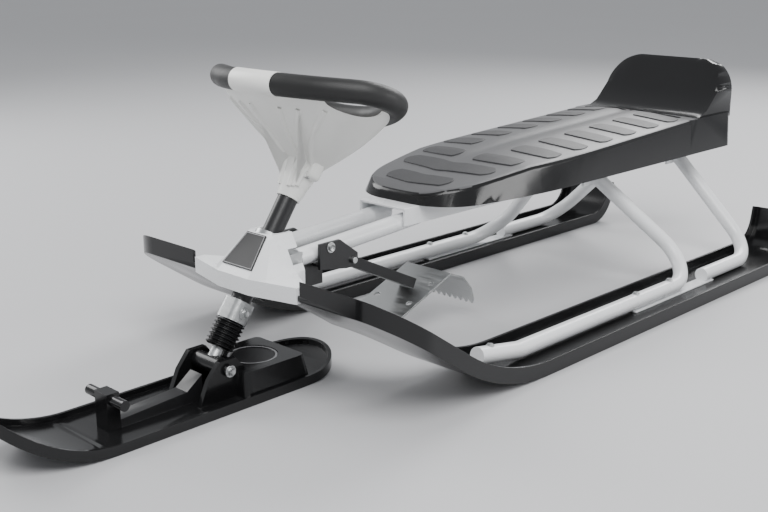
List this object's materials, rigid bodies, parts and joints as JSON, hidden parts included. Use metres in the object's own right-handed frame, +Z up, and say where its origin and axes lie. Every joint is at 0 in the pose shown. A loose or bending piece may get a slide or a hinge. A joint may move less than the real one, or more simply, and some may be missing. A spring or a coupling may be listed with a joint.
{
  "type": "steerable snow sled",
  "caption": "Steerable snow sled: front ski turned by a steering wheel, tube frame on two moulded runners, long seat with a low backrest, foot brake.",
  "frame": {"origin": "bounding box centre on the ground, at the underside of the runners", "axes": "+Z up, -Y forward towards the ski tip, +X the sled's left side"},
  "size_m": [0.5, 1.365, 0.3758],
  "materials": {
    "black_plastic": "matt",
    "white_paint": "gloss",
    "white_plastic": "satin",
    "grip_black": "matt",
    "black_paint": "satin",
    "badge": "gloss",
    "zinc": "satin"
  },
  "bodies": {
    "sled": {"badge_plate": "badge", "brake_bracket": "black_paint", "brake_pin": "zinc", "front_leg_left": "white_paint", "front_leg_right": "white_paint", "head_shell": "white_paint", "head_sleeve": "zinc", "main_tube_left": "white_paint", "main_tube_right": "white_paint", "rear_leg_left": "white_paint", "rear_leg_right": "white_paint", "runner_left": "black_plastic", "runner_right": "black_plastic", "seat_rail": "white_paint", "seat_shell": "black_plastic"},
    "steering": {"column_tube": "black_paint", "wheel_rim": "grip_black", "wheel_hub": "white_plastic", "fork_bracket": "zinc", "strut_bellows": "black_plastic", "strut_rod": "zinc"},
    "ski": {"ski": "black_plastic", "pivot_pin": "zinc", "tow_bracket": "black_plastic"},
    "brake": {"brake_arm": "black_paint", "brake_blade": "zinc"}
  },
  "joints": [
    {"name": "steering", "type": "hinge", "parent": "sled", "child": "steering", "pos_m": [0, -0.31497, 0.16], "axis": [0, 0.5736, 0.8192], "range_deg": [-35, 35]},
    {"name": "ski_pitch", "type": "hinge", "parent": "steering", "child": "ski", "pos_m": [0, -0.39899, 0.04], "axis": [1, 0, 0], "range_deg": [-10, 6]},
    {"name": "brake", "type": "hinge", "parent": "sled", "child": "brake", "pos_m": [0, -0.208, 0.136], "axis": [1, 0, 0], "range_deg": [-6, 0], "stiffness_Nm_per_rad": 2, "springref_deg": 45.84}
  ]
}
